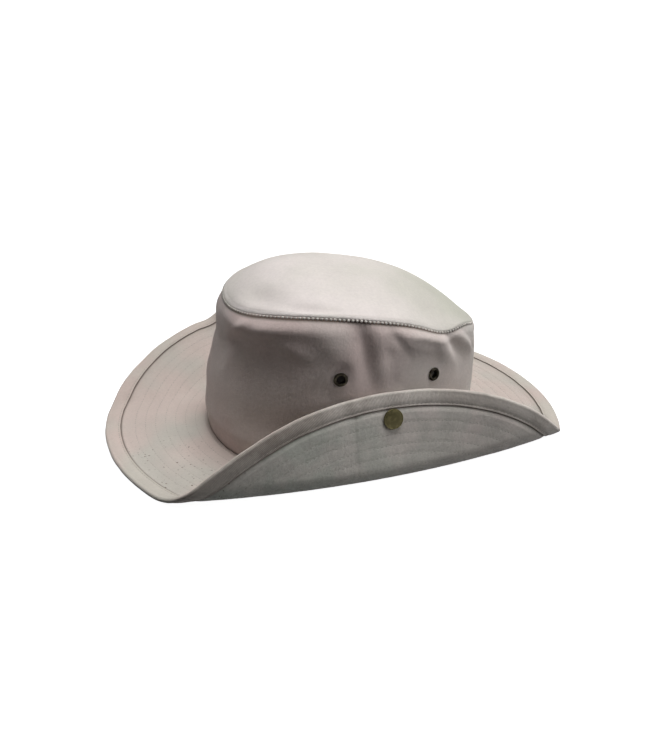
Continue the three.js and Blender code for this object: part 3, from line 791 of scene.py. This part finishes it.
# %% Spin the brass
def spun(name, profile, place, segments=48, rounding=0.12):
    """Spins a section of (radius, height) rows in mm, and stands it on a point of the cloth."""
    brass = bmesh.new()
    points = [brass.verts.new((radius * MM, 0, high * MM)) for radius, high in profile]
    closed = profile[0][0] > 0
    for pair in zip(points, points[1:] + points[:closed]):
        brass.edges.new(pair)
    corners = points if closed else points[1:-1]
    bmesh.ops.bevel(brass, geom=corners, offset=rounding * MM, offset_type="OFFSET", affect="VERTICES",
                    segments=2, profile=0.5, material=-1)
    bmesh.ops.spin(brass, geom=brass.verts[:] + brass.edges[:], cent=(0, 0, 0), axis=(0, 0, 1),
                   angle=2 * math.pi, steps=segments, use_merge=True)
    bmesh.ops.remove_doubles(brass, verts=brass.verts, dist=1e-7)
    bmesh.ops.recalc_face_normals(brass, faces=brass.faces)
    point, out = place
    turn = Vector((0, 0, 1)).rotation_difference(Vector(out)).to_matrix().to_4x4()
    bmesh.ops.transform(brass, matrix=Matrix.Translation(Vector(point) * MM) @ turn, verts=brass.verts)
    return finished(name, brass)


EYELET = [(2.9, -1.0), (2.9, 0.85), (4.5, 0.85), (4.6, 1.15), (4.25, 1.75), (3.6, 2.1), (2.95, 1.9),
          (2.5, 1.3), (2.4, 0.4), (2.4, -1.6), (4.2, -1.6), (4.2, -1.0)]
CAP = [(0, 3.12), (3.6, 3.0), (5.6, 2.72), (5.95, 2.5), (6.2, 2.62), (6.6, 2.5), (6.88, 2.0),
       (6.8, 1.4), (6.3, 1.15), (2.0, 1.15), (2.0, -1.3), (5.4, -1.3), (5.6, -1.6), (5.6, -3.9),
       (5.2, -4.3), (2.9, -4.3), (2.7, -3.9), (2.9, -2.5), (0, -2.5)]
STUD = [(0, 3.9), (1.6, 3.9), (2.2, 3.3), (2.1, 2.4), (2.0, 1.8), (4.9, 1.8), (5.2, 1.5), (5.2, 1.0),
        (2.0, 1.0), (2.0, -1.0), (5.0, -1.0), (5.0, -1.5), (4.6, -1.8), (0, -1.8)]

fittings = {}
for name, place in eyelet_places.items():
    fittings[name] = spun(f"{name}_brass", EYELET, band_frame(place))
for hand, sign in SIGNS.items():
    fittings[f"snap_cap_{hand}"] = spun(f"snap_cap_{hand}_brass", CAP, cap_frame(sign), 56, 0.1)
    fittings[f"snap_stud_{hand}"] = spun(f"snap_stud_{hand}_brass", STUD, band_frame(stud_places[hand]), 32)
for node, piece in fittings.items():
    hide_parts(node)
    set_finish(piece, "eyelet_brass" if "eyelet" in node else "snap_brass")
    print(piece.name, len(piece.data.polygons), "faces")

# %% [markdown]
# ## Writing materials as sums
# A material is a net of small sums. Drawn by hand it is hard to follow, so the class below lets a
# sum be written as a sum: it wraps one socket, and each operator adds the Math node for it.

# %% A strand of a material
class Strand:
    """One output of a material's node, or a number on its way into one."""

    def __init__(self, tree, socket):
        self.tree, self.socket = tree, socket

    def node(self, kind, settings=None, output=0, **inputs):
        """Adds any node. Settings come first, then values or strands for its inputs, by identifier.

        Two underscores stand for a space in an identifier."""
        node = self.tree.nodes.new(kind)
        for setting, value in (settings or {}).items():
            setattr(node, setting, value)
        sockets = {socket.identifier: socket for socket in node.inputs}
        for name, value in inputs.items():
            socket = sockets[name.replace("__", " ")]
            if isinstance(value, Strand):
                self.tree.links.new(value.socket, socket)
            else:
                socket.default_value = value
        return Strand(self.tree, node.outputs[output])

    def sum(self, operation, first, second):
        return self.node("ShaderNodeMath", {"operation": operation}, Value=first, Value_001=second)

    def __add__(self, other):
        return self.sum("ADD", self, other)

    def __sub__(self, other):
        return self.sum("SUBTRACT", self, other)

    def __rsub__(self, other):
        return self.sum("SUBTRACT", other, self)

    def __mul__(self, other):
        return self.sum("MULTIPLY", self, other)

    __rmul__ = __mul__

    def sine(self):
        return self.sum("SINE", self, 0.0)

    def over(self, low, high):
        """0 below low and 1 above high, with a soft start and end."""
        return self.node("ShaderNodeMapRange", {"interpolation_type": "SMOOTHSTEP"}, Value=self,
                         From__Min=low, From__Max=high)

    def mix(self, first, second):
        """The first colour where this is 0 and the second where it is 1."""
        return self.node("ShaderNodeMix", {"data_type": "RGBA"}, output=2, Factor_Float=self, A_Color=first,
                         B_Color=second)

    def parts(self):
        """The three numbers of a place."""
        node = self.node("ShaderNodeSeparateXYZ", Vector=self).socket.node
        return [Strand(self.tree, output) for output in node.outputs]

    def noise(self, scale, detail=2.0):
        """Clouds read at this place, smaller for a larger scale."""
        return self.node("ShaderNodeTexNoise", Vector=self, Scale=scale, Detail=detail)

    def place(self):
        """The place on the hat itself, in metres."""
        return self.node("ShaderNodeTexCoord", output=3)

    def mark(self, name):
        """A number stored on the mesh's points."""
        return self.node("ShaderNodeAttribute", {"attribute_name": name}, output=2)


def srgb(red, green, blue):
    """A colour picked on a screen, in the even scale that light adds up in."""
    return (*(((c / 255 + 0.055) / 1.055) ** 2.4 if c > 10 else c / 3294 for c in (red, green, blue)), 1)


def new_material(name, **constants):
    """A material with its shader's plain numbers set, and a strand to start its sums from."""
    material = bpy.data.materials.new(name)
    material.use_nodes = True
    shader = material.node_tree.nodes["Principled BSDF"]
    for socket, value in constants.items():
        shader.inputs[socket.replace("_", " ")].default_value = value
    return material, shader, Strand(material.node_tree, None)


def plug(material, shader, **strands):
    for socket, strand in strands.items():
        material.node_tree.links.new(strand.socket, shader.inputs[socket.replace("_", " ")])
    return material


# %% [markdown]
# ## The cloth's finish
# The cloth is a cotton twill: fine slanting ribs, half a millimetre apart, with threads that are
# never quite even. Its colour drifts between a warm and a greyer beige over a few centimetres and
# from the front of the hat to its rear, and part of that drift is painted light and shade: the top
# is lighter at its front, the under faces of brim and tape are darker at theirs, and the top's cloth
# is lighter than the band's, which paints in the light from above. Painted shade darkens the
# stitched grooves, the tape's hem and the band's corners, and specks of brown dust lie on the
# front corner.

# %% Mix the cloths
# How many of each kind of cloud lie along one metre.
CLOUDS = Sizes(drift=17.0, stain=38.0, cloud=70.0, slub=520.0, dots=330.0, some=420.0)
# The first colour is the brown of painted shade in grooves, hems and corners; the second is dust.
PAINTED_SHADE_BROWN, DUST = (92, 78, 68), (96, 76, 62)
# Metres forwards and to the left where the dust starts and is full.
DUST_FRONT, DUST_LEFT = (0.085, 0.125), (-0.02, 0.03)


def dusted(shade, place, amount):
    """Small brown dots on the front left corner."""
    side, along, _ = place.parts()
    dots = place.node("ShaderNodeTexVoronoi", Vector=place, Scale=CLOUDS.dots).over(0.14, 0.30)
    dust = (1 - dots) * place.noise(CLOUDS.some).over(0.52, 0.58) * (-1 * along).over(*DUST_FRONT)
    return (dust * (side - HEAD_OFFSET.x).over(*DUST_LEFT) * amount).mix(shade, srgb(*DUST))


def cotton(name, warm, cool, worn, rib=0.55, rib_turn=45, depth=0.10, specks=0.0, under=None,
           rear=(-0.03, 0.08)):
    """A twill. rib and depth are in mm, and worn is how strongly the shade clouds.

    The shade goes from warm to cool between the places of rear, in metres along the hat. Where
    there is an under face, it does so there, between that face's two shades. This change from
    front to rear is partly a real tint and partly painted light and shade: a lighter front on the
    top, and a darker front on the under faces of brim and tape."""
    material, shader, start = new_material(
        name, Sheen_Weight=0.2, Sheen_Roughness=0.45, Specular_IOR_Level=0.25)
    pattern = start.node("ShaderNodeUVMap", {"uv_map": "cut"})
    ribs = start.node("ShaderNodeMapping", Vector=pattern, Rotation=(0, 0, math.radians(rib_turn)),
                      Scale=(1 / (rib * MM),) * 3)
    across, along, _ = ribs.parts()
    rib_wave = ((across + ribs.noise(0.35) * 0.9) * (2 * math.pi)).sine()
    thread_wave = (along * (2.2 * math.pi)).sine()
    place = start.place()
    cloud, slub = place.noise(CLOUDS.cloud, 4.0), place.noise(CLOUDS.slub)
    drift = place.noise(CLOUDS.drift).over(0.36, 0.62)
    # This ramp from front to rear is partly tint and partly painted light and shade.
    tint_and_light_to_rear = place.parts()[1].over(*rear)
    patchy = 1.0
    if under:
        below = start.mark("under")
        # On the under face most of this mix is that ramp, which paints shade at the front of brim and tape.
        stain = place.noise(CLOUDS.stain, 3.0).over(0.40, 0.62) * 0.4 + tint_and_light_to_rear * 0.6
        shade = below.mix(drift.mix(srgb(*warm), srgb(*cool)), stain.mix(srgb(*under[0]), srgb(*under[1])))
        patchy = below * 1.1 + 1.0
    else:
        shade = (drift * 0.35 + tint_and_light_to_rear * 0.65).mix(srgb(*warm), srgb(*cool))
    value = ((cloud - 0.5) * 0.5 + (slub - 0.5) * 0.45) * (patchy * worn) + rib_wave * 0.03 + 1.0
    shade = start.node("ShaderNodeHueSaturation", Color=shade, Value=value)
    # The marks from the grids paint shade in that brown into grooves, hems and corners.
    shade = start.mark("painted_shade").over(0.0, 1.3).mix(shade, srgb(*PAINTED_SHADE_BROWN))
    if specks:
        shade = dusted(shade, place, specks)
    relief = rib_wave * 0.5 + thread_wave * 0.25 + slub * 1.6 + cloud * 2.4
    normal = start.node("ShaderNodeBump", Height=relief, Strength=1.0, Distance=depth * MM)
    return plug(material, shader, Base_Color=shade, Normal=normal, Roughness=cloud * 0.12 + 0.7)


# The top's cloth is lighter than the band's and brim's, which paints in the light from above. The front and
# rear shades also paint light and shade: the top is lighter at its front, and the under faces of brim and tape
# are darker at theirs.
finishes = {
    "crown_top_cloth": cotton("top_twill", (238, 229, 225), (201, 200, 187), 0.36),
    "crown_side_cloth": cotton("band_twill", (217, 198, 193), (221, 216, 209), 0.46, depth=0.14),
    "brim_cloth": cotton("brim_twill", (203, 188, 180), (190, 185, 176), 0.34, specks=0.9,
                         rear=(-0.07, 0.09), under=((184, 185, 176), (217, 206, 200))),
    "binding_tape": cotton("tape_twill", (200, 184, 176), (192, 186, 176), 0.36, rib=0.9, rib_turn=8,
                           rear=(-0.10, 0.02), under=((148, 138, 130), (212, 204, 196))),
}
print("cloths:", sorted(finishes))

# %% Mix the thread and the brass
THREAD_SHADE, TARNISH, SCRATCHES = 0.78, 420.0, 1900.0


def cotton_thread(name, colour, twist):
    material, shader, start = new_material(name, Sheen_Weight=0.2, Specular_IOR_Level=0.3)
    fibre = start.place().noise(twist)
    shade = fibre.over(0.3, 0.7).mix(srgb(*(c * THREAD_SHADE for c in colour)), srgb(*colour))
    normal = start.node("ShaderNodeBump", Height=fibre, Strength=0.8, Distance=0.2 * MM)
    return plug(material, shader, Base_Color=shade, Normal=normal, Roughness=fibre * 0.2 + 0.6)


def old_brass(name, bright, dull, roughness):
    """Dull brass, bright on its raised edges, where output 7 of the geometry is high."""
    material, shader, start = new_material(name, Metallic=1.0)
    place = start.place()
    stain, scratch = place.noise(TARNISH, 4.0), place.noise(SCRATCHES)
    edge = start.node("ShaderNodeNewGeometry", output=7).over(0.50, 0.56)
    worn = (edge * 0.7 + stain.over(0.42, 0.66) * 0.4).over(0.0, 1.0)
    shade = worn.mix(srgb(*dull), srgb(*bright))
    normal = start.node("ShaderNodeBump", Height=scratch + stain, Strength=0.5, Distance=0.05 * MM)
    return plug(material, shader, Base_Color=shade, Normal=normal, Roughness=stain * 0.2 + roughness)


finishes["stitches"] = cotton_thread("quilting_thread", (190, 181, 172), 900.0)
finishes["under_stitches"] = cotton_thread("under_thread", (180, 176, 167), 900.0)
finishes["seam_thread"] = cotton_thread("seam_thread", (236, 230, 222), 700.0)
finishes["snap_brass"] = old_brass("snap_brass_finish", (114, 107, 77), (78, 73, 51), 0.46)
finishes["eyelet_brass"] = old_brass("eyelet_brass_finish", (90, 85, 70), (34, 31, 26), 0.38)


def dress(piece, finish):
    piece.data.materials.clear()
    piece.data.materials.append(finishes[finish])


for piece in (brim, tape, band, top, *fittings.values()):
    dress(piece, piece["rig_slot"])
for piece in (quilting["brim_stitches_top"], tape_stitches):
    dress(piece, "stitches")
dress(quilting["brim_stitches_under"], "under_stitches")
dress(crown_stitches, "seam_thread")

# %% [markdown]
# ## What each cloth was cut from
# The brim is an oval ring of two layers. The band is a strip that is a little longer than the head
# opening, the top is an oval with a seam allowance, and the tape is a long bias strip.

# %% Find the cut areas of the brim and the top
def oval_area(sizes, spare=0.0):
    edge = oval(sizes, np.linspace(0, 2 * np.pi, 721), spare)
    return float(abs(np.sum(edge[:-1, 0] * edge[1:, 1] - edge[1:, 0] * edge[:-1, 1])) / 2)


brim_area, top_area = oval_area(BRIM_EDGE) - oval_area(HEAD), oval_area(CROWN, 9)
print("brim cut in square metres:", round(brim_area * MM * MM, 4))

# %% [markdown]
# ## The studio
# The hat stands on a floor that glows white, but not beneath it. One large soft light is almost
# overhead, so that the top and the inside of the brim are bright. A weaker one comes from behind
# the wearer's left and a faint one from the front, and the sky adds a little.

# %% Light the hat
SKY = Sizes(fill=0.05, seen=1.0)
FLOOR = Sizes(radius=9.0, grey=0.3, glow=0.96, glows_from=(0.075, 0.095))


def floor_plane():
    ground = bmesh.new()
    bmesh.ops.create_circle(ground, cap_ends=True, segments=96, radius=FLOOR.radius)
    mesh = bpy.data.meshes.new("floor")
    ground.to_mesh(mesh)
    ground.free()
    piece = placed("floor", mesh)
    material, shader, start = new_material(
        "floor_paper", Roughness=0.95, Specular_IOR_Level=0.1, Base_Color=(*(FLOOR.grey,) * 3, 1),
        Emission_Strength=FLOOR.glow)
    from_middle = start.node("ShaderNodeVectorMath", {"operation": "LENGTH"}, output=1, Vector=start.place())
    plug(material, shader, Emission_Color=from_middle.over(*FLOOR.glows_from).mix((0, 0, 0, 1), (1, 1, 1, 1)))
    mesh.materials.append(material)
    return piece


def sun(name, towards, strength, soft_deg):
    light = placed(name, bpy.data.lights.new(name, "SUN"))
    light.data.energy, light.data.angle = strength, math.radians(soft_deg)
    light.rotation_mode = "QUATERNION"
    light.rotation_quaternion = Vector(towards).to_track_quat("Z", "Y")


floor = floor_plane()
floor.visible_diffuse = False
sun("key_light", (-0.10, 0.13, 1.0), 2.90, 36)
sun("side_light", (0.50, 0.75, 0.45), 0.90, 30)
sun("front_light", (-0.30, -0.62, 0.80), 0.14, 30)
sky = bpy.data.worlds.new("studio")
sky.use_nodes = True
background = sky.node_tree.nodes["Background"]
background.inputs["Color"].default_value = (1, 1, 1, 1)
seen = Strand(sky.node_tree, None).node("ShaderNodeLightPath") * (SKY.seen - SKY.fill) + SKY.fill
sky.node_tree.links.new(seen.socket, background.inputs["Strength"])
bpy.context.scene.world = sky
bpy.context.scene.view_settings.view_transform = "Standard"
